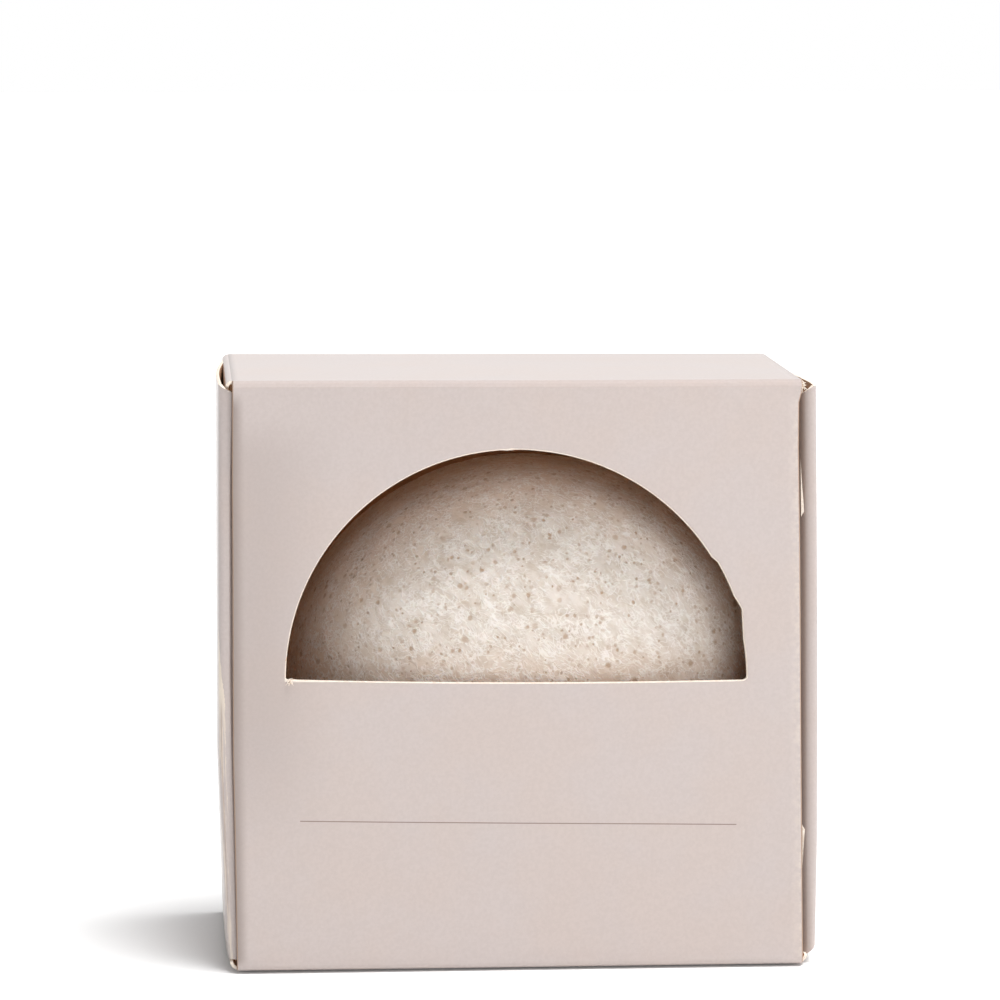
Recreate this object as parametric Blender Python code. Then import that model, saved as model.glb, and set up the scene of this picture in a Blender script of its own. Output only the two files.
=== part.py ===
"""A half-ball konjac sponge in its retail carton: a glued board sleeve with a half-round window and tuck-in ends.

Metres, +Z up. The window faces -Y. The origin is under the middle of the carton, on the surface it stands on.
"""

import math

import bmesh
import bpy
from mathutils import Vector

# Sponge
SPONGE_RADIUS = 0.0343
SPONGE_SPREAD = 0.0017
SPONGE_DEPTH = 0.033
SPONGE_BACK_EDGE_RADIUS = 0.005
SPONGE_OFFSET = 0.003
SPONGE_FRONT_GAP = 0.002
SPONGE_REST_GAP = 0.0003

# Board
BOARD = 0.00045
FOLD_RADIUS = 0.0009
FOLD_GAP = 0.0001
GLUE_LINE = 0.00005

# Sleeve, over the outer faces: the sponge and the room that the carton leaves it
SIDE_ROOM = 0.005
HEAD_ROOM = 0.0149
DEPTH_ROOM = 0.012
SLEEVE_WIDTH = 2 * (SPONGE_RADIUS + SPONGE_SPREAD + SIDE_ROOM)
SLEEVE_HEIGHT = 2 * SPONGE_RADIUS + HEAD_ROOM
SLEEVE_DEPTH = SPONGE_DEPTH + DEPTH_ROOM
FRONT_EDGE_SETBACK = 0.001
GLUE_FLAP_LENGTH = 0.012
GLUE_FLAP_TAPER = 0.004
GLUE_FLAP_END_SETBACK = 0.0005
BOTTOM_EDGE_SETBACK = 0.0005

# Window in the front panel, a little smaller than the sponge
WINDOW_LAP = 0.0017
WINDOW_TOP_MARGIN = 0.0096
WINDOW_RADIUS = SPONGE_RADIUS - WINDOW_LAP
WINDOW_BASE_HEIGHT = SLEEVE_HEIGHT - WINDOW_TOP_MARGIN - WINDOW_RADIUS
WINDOW_CORNER_RADIUS = 0.0006
CUT_OVERRUN = 0.002

# End closures, hinged on the back panel
CLOSURE_CLEARANCE = 0.00015
CLOSURE_SPREAD = 0.0006
CLOSURE_BOW = 0.00045
CLOSURE_EDGE_SETBACK = 0.0005
CLOSURE_SHOULDER_DROP = 0.0008
CLOSURE_SHOULDER_LENGTH = 0.006

# Tuck tabs, hinged on the closures
TAB_LENGTH = 0.0065
TAB_FOLD_RADIUS = 0.0019
TAB_CLEARANCE = 0.0008
TAB_TAPER = 0.0015
TAB_CORNER_RADIUS = 0.004

# Dust flaps, hinged on the top and bottom panels
FLAP_LENGTH = 0.025
FLAP_TAB_CLEARANCE = 0.0005
FLAP_FRONT_TAPER = 0.001
FLAP_BACK_SETBACK = 0.0014
FLAP_SHOULDER_LENGTH = 0.001
FLAP_BACK_SLOPE_SHARE = 0.9
FLAP_CORNER_RADIUS = 0.002

# Facets
FOLD_STEPS = 6
BOW_STEPS = 12
WINDOW_STEPS = 48
CORNER_STEPS = 4
SPONGE_STEPS = 48
SPONGE_DOME_RINGS = 14

# Surfaces
COATED_BOARD = ((0.716, 0.624, 0.584), 0.55)
FOLDED_BOARD = ((0.680, 0.580, 0.535), 0.60)
SPONGE_FIBRE = ((0.730, 0.660, 0.570), 0.95)

# Planes that several pieces share
FRONT = -SLEEVE_DEPTH / 2
BACK = SLEEVE_DEPTH / 2
FLAP_FOLD_START = SLEEVE_WIDTH / 2 - FOLD_RADIUS
CLOSURE_REACH = SLEEVE_WIDTH / 2 + BOARD + CLOSURE_CLEARANCE
CLOSURE_FOLD_START = CLOSURE_REACH - FOLD_RADIUS
TAB_PLANE = FRONT + BOARD + TAB_CLEARANCE
TAB_FOLD_START = TAB_PLANE + TAB_FOLD_RADIUS
GLUE_FLAP_UNDERSIDE = BOARD + GLUE_LINE
QUARTER_TURN = math.radians(90)
GAP_TURN = FOLD_GAP / FOLD_RADIUS
HALF_FOLD = QUARTER_TURN / 2 - GAP_TURN


class Walk:
    """A walk along the outer face of folded board, seen along its folds. Bends turn right, to the inner face."""

    def __init__(self, start, heading):
        self.place = Vector(start)
        self.heading = heading
        self.sections = []
        self.mark()

    def inward(self):
        return Vector((math.sin(self.heading), -math.cos(self.heading)))

    def start_on_bend(self, turned, radius):
        """Starts again on the bend that touches this place, so far round it: a gap on, or part of a fold back."""
        centre = self.place + radius * self.inward()
        self.heading -= turned
        self.place = centre - radius * self.inward()
        self.sections.clear()
        self.mark()

    def mark(self):
        self.sections.append((self.place.copy(), self.place + BOARD * self.inward()))

    def straight(self, length):
        self.place += length * Vector((math.cos(self.heading), math.sin(self.heading)))
        self.mark()

    def bend(self, angle, radius, steps):
        centre = self.place + radius * self.inward()
        for _ in range(steps):
            self.heading -= angle / steps
            self.place = centre - radius * self.inward()
            self.mark()


def make_material(name, colour, roughness):
    material = bpy.data.materials.new(name)
    material.use_nodes = True
    shader = material.node_tree.nodes["Principled BSDF"]
    shader.inputs["Base Color"].default_value = (*colour, 1)
    shader.inputs["Roughness"].default_value = roughness
    shader.inputs["Metallic"].default_value = 0
    return material


def make_object(name, mesh, surface, origin=(0, 0, 0)):
    """An object from a mesh built in the part's frame, with its own origin and material."""
    bmesh.ops.translate(mesh, verts=mesh.verts, vec=-Vector(origin))
    bmesh.ops.recalc_face_normals(mesh, faces=mesh.faces)
    data = bpy.data.meshes.new(name)
    mesh.to_mesh(data)
    mesh.free()
    data.materials.append(make_material(name, *surface))
    made = bpy.data.objects.new(name, data)
    made.location = origin
    bpy.context.collection.objects.link(made)
    return made


def shade_by_angle(made):
    made.data.shade_smooth()
    made.data.set_sharp_from_angle(angle=math.radians(30))


def carry(parent, child):
    """Parents a piece to the one that carries it, and leaves it where it is."""
    child.parent = parent
    child.location -= parent.location


def board_mesh(sections, spans, to_frame, corner_radius=0):
    """A closed sheet through board sections, each as wide as its span. The last section's corners may be round."""
    mesh = bmesh.new()
    loops = []
    for (outer, inner), (low, high) in zip(sections, spans):
        corners = ((outer, low), (outer, high), (inner, high), (inner, low))
        loops.append([mesh.verts.new(to_frame(point, width)) for point, width in corners])
    for near, far in zip(loops, loops[1:]):
        for i in range(4):
            mesh.faces.new((near[i - 1], near[i], far[i], far[i - 1]))
    mesh.faces.new(loops[0])
    mesh.faces.new(loops[-1])
    if corner_radius:
        last = loops[-1]
        ends = [mesh.edges.get((last[0], last[3])), mesh.edges.get((last[1], last[2]))]
        bmesh.ops.bevel(
            mesh,
            geom=ends,
            offset=corner_radius,
            segments=CORNER_STEPS,
            profile=0.5,
            affect="EDGES",
            material=-1,
        )
    return mesh


def across_sleeve(point, width):
    """From the sleeve's cross section, seen from +X, to the part's frame."""
    return Vector((width, point.x, point.y))


def sleeve_wall(name, start, heading, length, half_width, folds_in=True, folds_out=True, taper=0):
    """A flat wall of the sleeve, with its half of the long fold at each end that has one."""
    walk = Walk(start, heading)
    if folds_in:
        walk.start_on_bend(-HALF_FOLD, FOLD_RADIUS)
        walk.bend(HALF_FOLD, FOLD_RADIUS, FOLD_STEPS // 2)
    walk.straight(length)
    if folds_out:
        walk.bend(HALF_FOLD, FOLD_RADIUS, FOLD_STEPS // 2)
    spans = [(-half_width, half_width)] * len(walk.sections)
    if taper:
        spans[-1] = (taper - half_width, half_width - taper)
    made = make_object(name, board_mesh(walk.sections, spans, across_sleeve), COATED_BOARD)
    shade_by_angle(made)
    return made


def window_cutter():
    """A half-round prism through the front panel, with slightly round lower corners."""
    mesh = bmesh.new()
    outline = []
    for step in range(WINDOW_STEPS + 1):
        angle = math.pi * step / WINDOW_STEPS
        across = WINDOW_RADIUS * math.cos(angle)
        up = WINDOW_BASE_HEIGHT + WINDOW_RADIUS * math.sin(angle)
        outline.append(mesh.verts.new((across, FRONT - CUT_OVERRUN, up)))
    face = mesh.faces.new(outline)
    made = bmesh.ops.extrude_face_region(mesh, geom=[face])["geom"]
    moved = [item for item in made if isinstance(item, bmesh.types.BMVert)]
    through = Vector((0, BOARD + 2 * CUT_OVERRUN, 0))
    bmesh.ops.translate(mesh, verts=moved, vec=through)
    lower = [
        edge
        for edge in mesh.edges
        if abs(edge.verts[0].co.y - edge.verts[1].co.y) > BOARD
        and edge.verts[0].co.z < WINDOW_BASE_HEIGHT + BOARD
    ]
    bmesh.ops.bevel(
        mesh,
        geom=lower,
        offset=WINDOW_CORNER_RADIUS,
        segments=CORNER_STEPS,
        profile=0.5,
        affect="EDGES",
        material=-1,
    )
    cutter = make_object("window_cutter", mesh, COATED_BOARD)
    cutter.hide_render = True
    cutter.display_type = "WIRE"
    return cutter


def build_sleeve():
    """Front, top, back and bottom walls, and the flap that glues the back wall to the bottom one."""
    wall_half = FLAP_FOLD_START - FOLD_GAP
    back_half = CLOSURE_FOLD_START - FOLD_GAP
    front_half = SLEEVE_WIDTH / 2 - FRONT_EDGE_SETBACK
    glued_half = wall_half - GLUE_FLAP_END_SETBACK
    front_length = SLEEVE_HEIGHT - 2 * FOLD_RADIUS
    top_length = SLEEVE_DEPTH - 2 * FOLD_RADIUS
    back_length = front_length - GLUE_FLAP_UNDERSIDE
    bottom_length = SLEEVE_DEPTH - BOTTOM_EDGE_SETBACK - FOLD_RADIUS
    glued_length = GLUE_FLAP_LENGTH - FOLD_RADIUS

    front_start = (FRONT, FOLD_RADIUS)
    front = sleeve_wall("front_panel", front_start, QUARTER_TURN, front_length, front_half)
    cut = front.modifiers.new("window", "BOOLEAN")
    cut.operation = "DIFFERENCE"
    cut.solver = "EXACT"
    cut.object = window_cutter()

    top_start = (FRONT + FOLD_RADIUS, SLEEVE_HEIGHT)
    top = sleeve_wall("top_panel", top_start, 0, top_length, wall_half)
    back_start = (BACK, SLEEVE_HEIGHT - FOLD_RADIUS)
    back = sleeve_wall("back_panel", back_start, -QUARTER_TURN, back_length, back_half)
    bottom_start = (BACK - BOTTOM_EDGE_SETBACK, 0)
    bottom = sleeve_wall(
        "bottom_panel", bottom_start, -2 * QUARTER_TURN, bottom_length, wall_half, folds_in=False
    )
    glued_start = (BACK - FOLD_RADIUS, GLUE_FLAP_UNDERSIDE)
    sleeve_wall(
        "glue_flap",
        glued_start,
        -2 * QUARTER_TURN,
        glued_length,
        glued_half,
        folds_out=False,
        taper=GLUE_FLAP_TAPER,
    )
    return top, back, bottom


def build_closure(side, side_name, back):
    """An end closure: its back fold and a panel that bows outwards a little, up to the tab's fold."""

    def across_end(point, width):
        return Vector((side * point.x, point.y, width))

    chord_across = CLOSURE_SPREAD
    chord_along = BACK - FOLD_RADIUS - TAB_FOLD_START
    chord = math.hypot(chord_across, chord_along)
    lean = math.atan2(chord_across, chord_along)
    half_bow = 2 * math.atan(2 * CLOSURE_BOW / chord)
    bow_radius = chord / (2 * math.sin(half_bow))
    axis = (side * CLOSURE_FOLD_START, BACK, SLEEVE_HEIGHT / 2)

    walk = Walk((CLOSURE_FOLD_START, BACK), 0)
    walk.start_on_bend(GAP_TURN, FOLD_RADIUS)
    walk.bend(QUARTER_TURN - lean - half_bow - GAP_TURN, FOLD_RADIUS, FOLD_STEPS)
    walk.bend(2 * half_bow, bow_radius, BOW_STEPS)

    spans = []
    for outer, _ in walk.sections:
        to_fold = outer.y - TAB_FOLD_START
        drop_share = max(0, 1 - to_fold / CLOSURE_SHOULDER_LENGTH)
        edge = CLOSURE_EDGE_SETBACK + CLOSURE_SHOULDER_DROP * drop_share
        spans.append((edge, SLEEVE_HEIGHT - edge))
    closure = make_object(
        f"{side_name}_closure", board_mesh(walk.sections, spans, across_end), FOLDED_BOARD, axis
    )
    shade_by_angle(closure)
    carry(back, closure)

    hinge_inside = walk.sections[-1][1]
    build_tab(closure, side, side_name, walk, hinge_inside, across_end)


def build_tab(closure, side, side_name, walk, hinge_inside, across_end):
    """The tuck tab goes on from the closure's last section: a rounded fold, then a flat tab behind the front wall."""
    gap_turn = 2 * FOLD_GAP / TAB_FOLD_RADIUS
    walk.start_on_bend(gap_turn, TAB_FOLD_RADIUS)
    walk.bend(walk.heading + 2 * QUARTER_TURN, TAB_FOLD_RADIUS, FOLD_STEPS)
    walk.straight(TAB_LENGTH)
    edge = CLOSURE_EDGE_SETBACK + CLOSURE_SHOULDER_DROP
    spans = [(edge, SLEEVE_HEIGHT - edge)] * len(walk.sections)
    spans[-1] = (edge + TAB_TAPER, SLEEVE_HEIGHT - edge - TAB_TAPER)
    axis = (side * hinge_inside.x, hinge_inside.y, SLEEVE_HEIGHT / 2)
    mesh = board_mesh(walk.sections, spans, across_end, TAB_CORNER_RADIUS)
    tab = make_object(f"{side_name}_tuck_tab", mesh, FOLDED_BOARD, axis)
    shade_by_angle(tab)
    carry(closure, tab)


def build_dust_flap(side, level, name, wall):
    """A dust flap: its rolled fold at the wall's end, then a flat flap that is cut back slantwise at the rear."""

    def down_end(point, width):
        height = point.y if level > 0 else SLEEVE_HEIGHT - point.y
        return Vector((side * point.x, width, height))

    walk = Walk((FLAP_FOLD_START, SLEEVE_HEIGHT), 0)
    walk.start_on_bend(GAP_TURN, FOLD_RADIUS)
    walk.bend(QUARTER_TURN - GAP_TURN, FOLD_RADIUS, FOLD_STEPS)
    walk.straight(FLAP_SHOULDER_LENGTH)
    walk.straight(FLAP_LENGTH - FLAP_SHOULDER_LENGTH)

    root_front = FRONT + FOLD_RADIUS + FOLD_GAP
    flat_front = TAB_PLANE + BOARD + FLAP_TAB_CLEARANCE
    rear = BACK - FLAP_BACK_SETBACK
    rear_cut = FLAP_BACK_SLOPE_SHARE * (FLAP_LENGTH - FLAP_SHOULDER_LENGTH)
    spans = []
    for step in range(FOLD_STEPS + 1):
        spans.append((root_front + (flat_front - root_front) * step / FOLD_STEPS, rear))
    spans.append((flat_front, rear))
    spans.append((flat_front + FLAP_FRONT_TAPER, rear - rear_cut))
    axis = (side * FLAP_FOLD_START, 0, SLEEVE_HEIGHT if level > 0 else 0)
    mesh = board_mesh(walk.sections, spans, down_end, FLAP_CORNER_RADIUS)
    flap = make_object(name, mesh, FOLDED_BOARD, axis)
    shade_by_angle(flap)
    carry(wall, flap)


def sponge_profile():
    """(radius, distance from the apex) pairs: an elliptic dome, a rounded rim and the flat back."""
    dome_depth = SPONGE_DEPTH - SPONGE_BACK_EDGE_RADIUS
    points = []
    for ring in range(SPONGE_DOME_RINGS + 1):
        angle = QUARTER_TURN * ring / SPONGE_DOME_RINGS
        points.append((SPONGE_RADIUS * math.sin(angle), dome_depth * (1 - math.cos(angle))))
    for step in range(1, FOLD_STEPS + 1):
        angle = QUARTER_TURN * step / FOLD_STEPS
        across = SPONGE_RADIUS - SPONGE_BACK_EDGE_RADIUS * (1 - math.cos(angle))
        points.append((across, dome_depth + SPONGE_BACK_EDGE_RADIUS * math.sin(angle)))
    points.append((0, SPONGE_DEPTH))
    return points


def build_sponge():
    """The half ball stands on its rim, dome to the window. Being soft, it lies a little wider than it is high."""
    apex = FRONT + BOARD + SPONGE_FRONT_GAP
    centre_height = GLUE_FLAP_UNDERSIDE + BOARD + SPONGE_REST_GAP + SPONGE_RADIUS
    origin = Vector((SPONGE_OFFSET, apex, centre_height))
    widening = 1 + SPONGE_SPREAD / SPONGE_RADIUS
    mesh = bmesh.new()
    rings = []
    for radius, depth in sponge_profile():
        count = SPONGE_STEPS if radius else 1
        ring = []
        for step in range(count):
            turn = 2 * math.pi * step / SPONGE_STEPS
            across = widening * radius * math.cos(turn)
            up = radius * math.sin(turn)
            ring.append(mesh.verts.new(origin + Vector((across, depth, up))))
        rings.append(ring)
    for near, far in zip(rings, rings[1:]):
        for step in range(SPONGE_STEPS):
            corners = []
            for ring, turn in ((near, step), (near, step + 1), (far, step + 1), (far, step)):
                corner = ring[turn % len(ring)]
                if corner not in corners:
                    corners.append(corner)
            mesh.faces.new(corners)
    sponge = make_object("sponge", mesh, SPONGE_FIBRE, origin)
    shade_by_angle(sponge)


def main():
    for old in list(bpy.data.objects):
        bpy.data.objects.remove(old)
    top, back, bottom = build_sleeve()
    for side, side_name in ((-1, "left"), (1, "right")):
        build_closure(side, side_name, back)
        build_dust_flap(side, 1, f"upper_{side_name}_dust_flap", top)
        build_dust_flap(side, -1, f"lower_{side_name}_dust_flap", bottom)
    build_sponge()


main()
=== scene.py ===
"""Looks of a half-ball konjac sponge in its window carton: folded board, porous foam, plain soft light.

Metres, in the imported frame. The window faces -Y, +Z is up, and the origin is under the carton's middle.
"""

import math

import bmesh
import bpy
from mathutils import Matrix, Vector, noise


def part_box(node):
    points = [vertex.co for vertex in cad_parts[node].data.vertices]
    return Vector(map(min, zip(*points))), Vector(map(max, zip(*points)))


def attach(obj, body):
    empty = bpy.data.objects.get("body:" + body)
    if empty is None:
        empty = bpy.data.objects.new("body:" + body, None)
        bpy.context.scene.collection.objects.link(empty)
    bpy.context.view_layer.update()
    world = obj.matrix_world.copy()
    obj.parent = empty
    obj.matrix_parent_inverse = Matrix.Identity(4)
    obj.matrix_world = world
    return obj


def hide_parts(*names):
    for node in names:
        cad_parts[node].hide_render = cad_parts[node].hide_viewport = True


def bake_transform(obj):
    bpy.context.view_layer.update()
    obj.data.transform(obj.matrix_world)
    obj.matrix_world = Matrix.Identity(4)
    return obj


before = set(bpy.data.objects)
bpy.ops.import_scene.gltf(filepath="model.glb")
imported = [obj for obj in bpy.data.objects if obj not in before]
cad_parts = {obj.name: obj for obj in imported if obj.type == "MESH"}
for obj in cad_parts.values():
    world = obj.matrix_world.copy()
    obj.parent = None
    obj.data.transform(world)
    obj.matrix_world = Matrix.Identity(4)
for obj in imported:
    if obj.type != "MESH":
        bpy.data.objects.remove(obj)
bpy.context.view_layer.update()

MM = 0.001
QUARTER_TURN = math.pi / 2

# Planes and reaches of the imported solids
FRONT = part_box("front_panel")[0].y
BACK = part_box("back_panel")[1].y
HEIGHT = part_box("top_panel")[1].z
WALL_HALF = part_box("front_panel")[1].x
BACK_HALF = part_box("back_panel")[1].x
GLUE_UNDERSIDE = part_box("glue_flap")[0].z
GLUE_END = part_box("glue_flap")[0].y
GLUE_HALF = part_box("glue_flap")[1].x
BOTTOM_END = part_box("bottom_panel")[1].y
FLAP_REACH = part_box("upper_left_dust_flap")[0].z
TAB_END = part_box("right_tuck_tab")[0].x
SPONGE_LOW, SPONGE_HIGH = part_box("sponge")

# Board
BOARD = 0.45 * MM
FOLD_RADIUS = 0.9 * MM
CHAMFER = 0.15 * MM
CELL = 1.6 * MM
FOLD_STEPS = 8
CUT_REACH = 1e-7
CORNER_STEPS = 5

# The front crease, as pairs of a turn in degrees and a radius, or of no turn and a length
FRONT_CREASE = ((32, 0.25), (0, 0.45), (26, 0.4), (0, 0.45), (32, 0.25))

# Where the front panel's side edges run: heights and distances from the middle, in mm. Then where off the
# middle the panel starts to give way to them, and over what width
LEFT_EDGE = (
    (0, 39.87),
    (10, 39.96),
    (20, 40.1),
    (30, 40.26),
    (42, 40.2),
    (58, 40.09),
    (70, 40.06),
    (82, 39.94),
)
RIGHT_EDGE = (
    (0, 40.1),
    (20, 40.08),
    (40, 40.02),
    (60, 39.96),
    (74, 39.85),
    (80.3, 39.95),
    (80.6, 40.1),
    (82.4, 40.5),
)
EDGE_GIVE = (33 * MM, 7 * MM)

# The strip left of the window has bent back: by how much, its share of that by height in mm, how far off
# the middle it starts and over what width it grows, and the depth that counts as the front
STRIP_SET_BACK = 0.6 * MM
STRIP_BOW = ((0, 0), (12, 0.12), (25, 0.5), (38, 0.9), (50, 1), (62, 0.9), (72, 0.5), (79, 0.12), (83, 0))
STRIP_WIDTH = 20 * MM
FRONT_LAYER = 2 * MM

# The bottom bulges a little under the sponge's weight, and the carton stands on the bulge
BOTTOM_SAG = 0.35 * MM
SAG_HALF_WIDTH = 36 * MM
SAG_HALF_DEPTH = 18 * MM

# The carton's lean in mm: sideways by place across, by height and by both, and upwards by height alone and
# by height with place across, with depth and with both. Then the ripple of its walls
LEAN_SIDEWAYS = (0.1266, -0.5806, -0.4395)
LEAN_UP = (-0.0894, -0.0913, 0.1037, -0.0695)
RIPPLE = 0.08
RIPPLE_SCALE = 22

# How near counts as at a cut or at a plane
NEAR = 0.01 * MM

# Window: its arc, the arc's wear by turn from the right in degrees, and its base line
WINDOW_RADIUS = 32.52 * MM
WINDOW_CENTRE = (-0.25 * MM, 41.31 * MM)
WINDOW_WEAR = ((0, 0), (10, 0), (15.9, 0.6), (17.2, 0.85), (20.3, 0.35), (30.6, 0.35), (31, 0), (180, 0))
WINDOW_BASE = (40.9, -0.26, 0.33)
WINDOW_STEPS = 96
BASE_STEPS = 40
LEFT_CORNER = 0.25 * MM
RIGHT_CORNER = 0.6 * MM

# Doubled points are merged round the window, between these heights over the foot and clear of the folds
WELD_LOW = 39 * MM
WELD_HIGH = 76 * MM
WELD_REACH = 1.2 * CHAMFER

# Glue flap's slanted ends: run along the fold to run across it
GLUE_SLOPE = (4, 11)

# Torn fibres: how many and how thick, at the window's lower left corner and the front's upper right one
WINDOW_FIBRES = (14, 0.14 * MM)
CORNER_FIBRES = (20, 0.3 * MM)

# Printed rule
RULE_START = (-30.9 * MM, 21.41 * MM)
RULE_END = 30.72 * MM
RULE_SLOPE = -0.01818
RULE_HALF = 0.075 * MM
RULE_BLUR = 0.02 * MM

# The sleeve's wear and painted shade: the lip pressed up round the window and its bared rim, the curl along
# the front's side edges and painted shade along the left one, painted shade on the bent-back strip left of
# the window, and painted shade on the band of the front crease, and the crease's lines
LIP_WIDTH = 0.5 * MM
LIP_RISE = 0.09 * MM
BARED_RIM = (0.19 * MM, 0.11 * MM)
CURL_WIDTH = 1.7 * MM
CURL_RISE = 0.2 * MM
SHADE_WIDTH = 2 * MM
BENT_STRIP_SHADE_ACROSS = (-24 * MM, -37 * MM)
BENT_STRIP_SHADE_FOOT = (12 * MM, 36 * MM)
BENT_STRIP_SHADE_TOP = (80 * MM, 72 * MM)
CREASE_LINE = (0.11 * MM, 0.03 * MM)

# The left roll's bared patch: where it tapers from, over what height, its width and how ragged it is, where
# it ends, and where it is full. Below it runs a thin line. The roll's top corner is torn
PATCH_TIP = 50.6 * MM
PATCH_TAPER = 12 * MM
PATCH_WIDTH = 1.35 * MM
PATCH_RAGGED = 0.5 * MM
PATCH_TOP = (52 * MM, 49 * MM)
PATCH_FULL = (33 * MM, 40 * MM)
SCUFF_PLACE = 0.85 * MM
SCUFF_RAGGED = 0.2 * MM
SCUFF_WIDTH = (0.12 * MM, 0.04 * MM)
SCUFF_TOP = (39 * MM, 36 * MM)
SCUFF_FOOT = (3 * MM, 12 * MM)
TORN_HEIGHT = (81.7 * MM, 82.3 * MM)
TORN_ALONG = (1.3 * MM, 1.7 * MM)

# Painted shade on the right roll toward the slit it tucks into: along the roll and by height
TUCK_SHADE_ALONG = (0.7 * MM, 3.3 * MM)
TUCK_SHADE_HEIGHT = (8 * MM, 60 * MM)

# End closures and tuck tabs, in mm and degrees: how far a closure spreads and bows, where its front roll
# starts, the roll's shape, and the outlines that handling gave it
CLOSURE_SETBACK = 0.5 * MM
CLOSURE_LEAD = 0.1 * MM
STRIP_FADE = 5 * MM
HUG_START = 5 * MM
HUG_LENGTH = 27 * MM
HUG_TOP = 25 * MM
FOOT_SLOPE_LEAD = 1 * MM
OUTLINE_STEPS = 200
SHOULDER_LENGTH = 6 * MM
TAB_TAPER = 1.5 * MM
TAB_CORNER = 4 * MM
ENDS = {
    "left": {
        "side": -1,
        "spread": 0.45,
        "bow": 0.32,
        "front": -20.15,
        "roll": 1.1,
        "short": 8,
        "pinch": 0.5,
        "hug": 1.0,
        "curl": ((0, 0.25), (45, 0.5), (-45, 2.5)),
        "set_down": 0.5,
        "back_drop": 0,
        "top_drop": 0.1,
        "foot_drop": 1.0,
        "tab_foot": 0,
        "tab_slope": (0.4, 0.65),
        "outline": (
            (1.3, 41.04),
            (3.9, 41.4),
            (9.7, 41.64),
            (18.3, 41.99),
            (30, 42.43),
            (52, 42.25),
            (80.6, 42.04),
        ),
        "strip": (
            (4.6, 40.06),
            (10.3, 40.18),
            (20.3, 40.36),
            (30.3, 40.62),
            (41.6, 40.86),
            (58.5, 40.73),
            (69.8, 40.51),
            (76.8, 40.24),
            (81.6, 40.13),
        ),
    },
    "right": {
        "side": 1,
        "spread": 1.15,
        "bow": 0.3,
        "front": -18.9,
        "roll": 1.2,
        "short": 0,
        "pinch": 1.5,
        "hug": 0,
        "curl": ((0, 0.02), (62, 1.6), (-62, 1.2)),
        "set_down": 1.0,
        "back_drop": 0.7,
        "top_drop": 0.1,
        "foot_drop": 1.85,
        "tab_foot": 1.55,
        "tab_slope": (1.1, 0.6),
        "outline": ((1.7, 42.28), (8.6, 42.47), (17.3, 42.69), (34, 42.84), (83, 42.84)),
        "strip": ((0, 41.45), (83, 41.55)),
    },
}

# Dust flaps
FLAP_FRONT = {-1: -20.3 * MM, 1: -19.2 * MM}
FLAP_BACK = 21.1 * MM
FLAP_ROOT = 1 * MM
FLAP_FOLD = {1: 0.9 * MM, -1: 1.5 * MM}
FLAP_REAR_CUT = 21.6 * MM
FLAP_REAR_LEAD = 1 * MM
FLAP_CORNER = 2 * MM
FLAP_CORNER_INSET = 1 * MM
FLAP_FRONT_SLOPE = -0.04

# Foam: the turns of its layers of strands, their stretch, and its pores as scale, share of cells that stay
# closed, and size
STRAND_TURNS = ((0, 2.3, 0), (0.2, 2.6, 0.2), (-0.2, 2.0, -0.2), (0.2, 1.3, 0.3))
STRAND_STRETCH = 3.0
STRAND_WIDTH = (0.044, 0.012)
PORES = ((420, 0.25, 0.28), (640, 0.25, 0.34), (1000, 0.3, 0.38))

# Where painted shade browns the dome: by depth toward its sides, and by height toward the window's base
FLANK_SHADE_DEPTH = (-17.5 * MM, -9 * MM)
FLANK_SHADE_FOOT = (48 * MM, 40 * MM)

# Sponge: how square its dome is at the bottom and how much more so at the top, how square its back is, the
# back's rounded rim, and the highest bump of its skin
DOME_POWER = 2.6
DOME_TOP_POWER = 0.8
BACK_POWER = 5
SPONGE_RIM = 5 * MM
SPONGE_CUTS = 120
RELIEF_LIMIT = 0.15 * MM

# Camera, fitted to the carton's corners
CAMERA_PLACE = (-49.027 * MM, -697.309 * MM, 144.26 * MM)
CAMERA_YAW = math.radians(3.9066)
CAMERA_PITCH = math.radians(-6.5437)
CAMERA_ROLL = math.radians(0.0204)
CAMERA_LENS = 175.296
SENSOR_WIDTH = 36

# Light. A panel has a name, azimuth, elevation, power, distance and size, and a sun a name, azimuth,
# elevation, strength and softness
FLOOR_SIZE = 4
FLOOR_LIFT = 0.05
FLOOR_BOUNCE = ((0.84, 0.84, 0.84, 1), (0.86, 0.86, 0.86, 1))
WHITE = (1, 1, 1, 1)
SOFT_LEVEL = 0.3
FRONT_KEY = ("front_key", 20, 16, 0.53, 0.38, 0.24)
OVERHEAD_SOFT = ("overhead_soft", 62, 74, 3.6, 34)

# Start of the random draws. It is not 0, because 0 takes the clock's time
RANDOM_SEED = 5


def srgb(red, green, blue):
    """A display colour, 0 to 255, as the linear colour that a shader takes."""
    shares = [value / 255 for value in (red, green, blue)]
    linear = [s / 12.92 if s <= 0.04045 else ((s + 0.055) / 1.055) ** 2.4 for s in shares]
    return (*linear, 1)


COAT_COLOUR = srgb(188, 176, 172)
COAT_WARM = srgb(189, 175, 169)
COAT_WORN = srgb(228, 214, 196)
COAT_GRAIN = srgb(160, 146, 140)
EDGE_SHADE = srgb(134, 118, 110)
BENT_STRIP_SHADE = srgb(150, 135, 128)
BAND_SHADE = srgb(168, 154, 149)
CREASE_PALE = srgb(186, 168, 160)
SCUFF_TAN = srgb(168, 142, 124)
TUCK_SHADE_BROWN = srgb(128, 108, 96)
CORE_COLOUR = srgb(244, 234, 222)
CORE_FIBRE = srgb(230, 214, 197)
CORE_TAN = srgb(172, 146, 128)
INSIDE_COLOUR = srgb(230, 190, 156)
INSIDE_DULL = srgb(216, 176, 143)
RULE_COLOUR = srgb(116, 92, 82)
FOAM_PALE = srgb(229, 221, 213)
FOAM_TAN = srgb(206, 192, 178)
FOAM_HAIR = srgb(252, 249, 245)
FOAM_PORE_AND_SHADE = srgb(184, 154, 126)
FOAM_FLANK_SHADE = srgb(220, 187, 160)


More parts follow.
